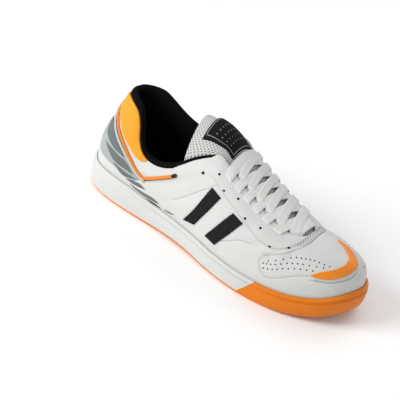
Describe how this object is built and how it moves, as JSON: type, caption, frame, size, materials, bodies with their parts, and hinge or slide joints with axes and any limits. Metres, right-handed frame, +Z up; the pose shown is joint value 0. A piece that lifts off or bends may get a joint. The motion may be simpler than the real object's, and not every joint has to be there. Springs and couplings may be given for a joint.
{
  "type": "indoor soccer shoe",
  "caption": "Right low indoor soccer shoe with a cupped sole, toe spring, padded collar, tongue and crossed flat laces.",
  "frame": {"origin": "middle of the bounding box at floor level, under the sole", "axes": "+X from heel to toe, +Y to the inner (big toe) side, +Z up"},
  "size_m": [0.305, 0.1056, 0.1173],
  "materials": {
    "collar_panel_inner": "yellow orange, satin",
    "collar_panel_outer": "yellow orange, satin",
    "counter_inner": "grey, satin",
    "counter_outer": "grey, satin",
    "front_band_inner": "black, matt, pinked edges",
    "front_band_outer": "black, matt, pinked edges",
    "insole": "black footbed cloth",
    "laces": "white flat cord",
    "midsole": "white rubber side wall, satin",
    "outsole": "gum rubber, satin",
    "piping_inner": "dark orange, satin",
    "piping_outer": "dark orange, satin",
    "rear_band_inner": "black, matt, pinked edges",
    "rear_band_outer": "black, matt, pinked edges",
    "toe_crescent": "orange, satin",
    "tongue": "white mesh, padded",
    "tongue_label": "black woven label",
    "upper": "white leather"
  },
  "bodies": {
    "root": {"collar_panel_inner": "collar_panel_inner", "collar_panel_outer": "collar_panel_outer", "counter_inner": "counter_inner", "counter_outer": "counter_outer", "front_band_inner": "front_band_inner", "front_band_outer": "front_band_outer", "insole": "insole", "laces": "laces", "midsole": "midsole", "outsole": "outsole", "piping_inner": "piping_inner", "piping_outer": "piping_outer", "rear_band_inner": "rear_band_inner", "rear_band_outer": "rear_band_outer", "toe_crescent": "toe_crescent", "tongue": "tongue", "tongue_label": "tongue_label", "upper": "upper"}
  },
  "joints": []
}
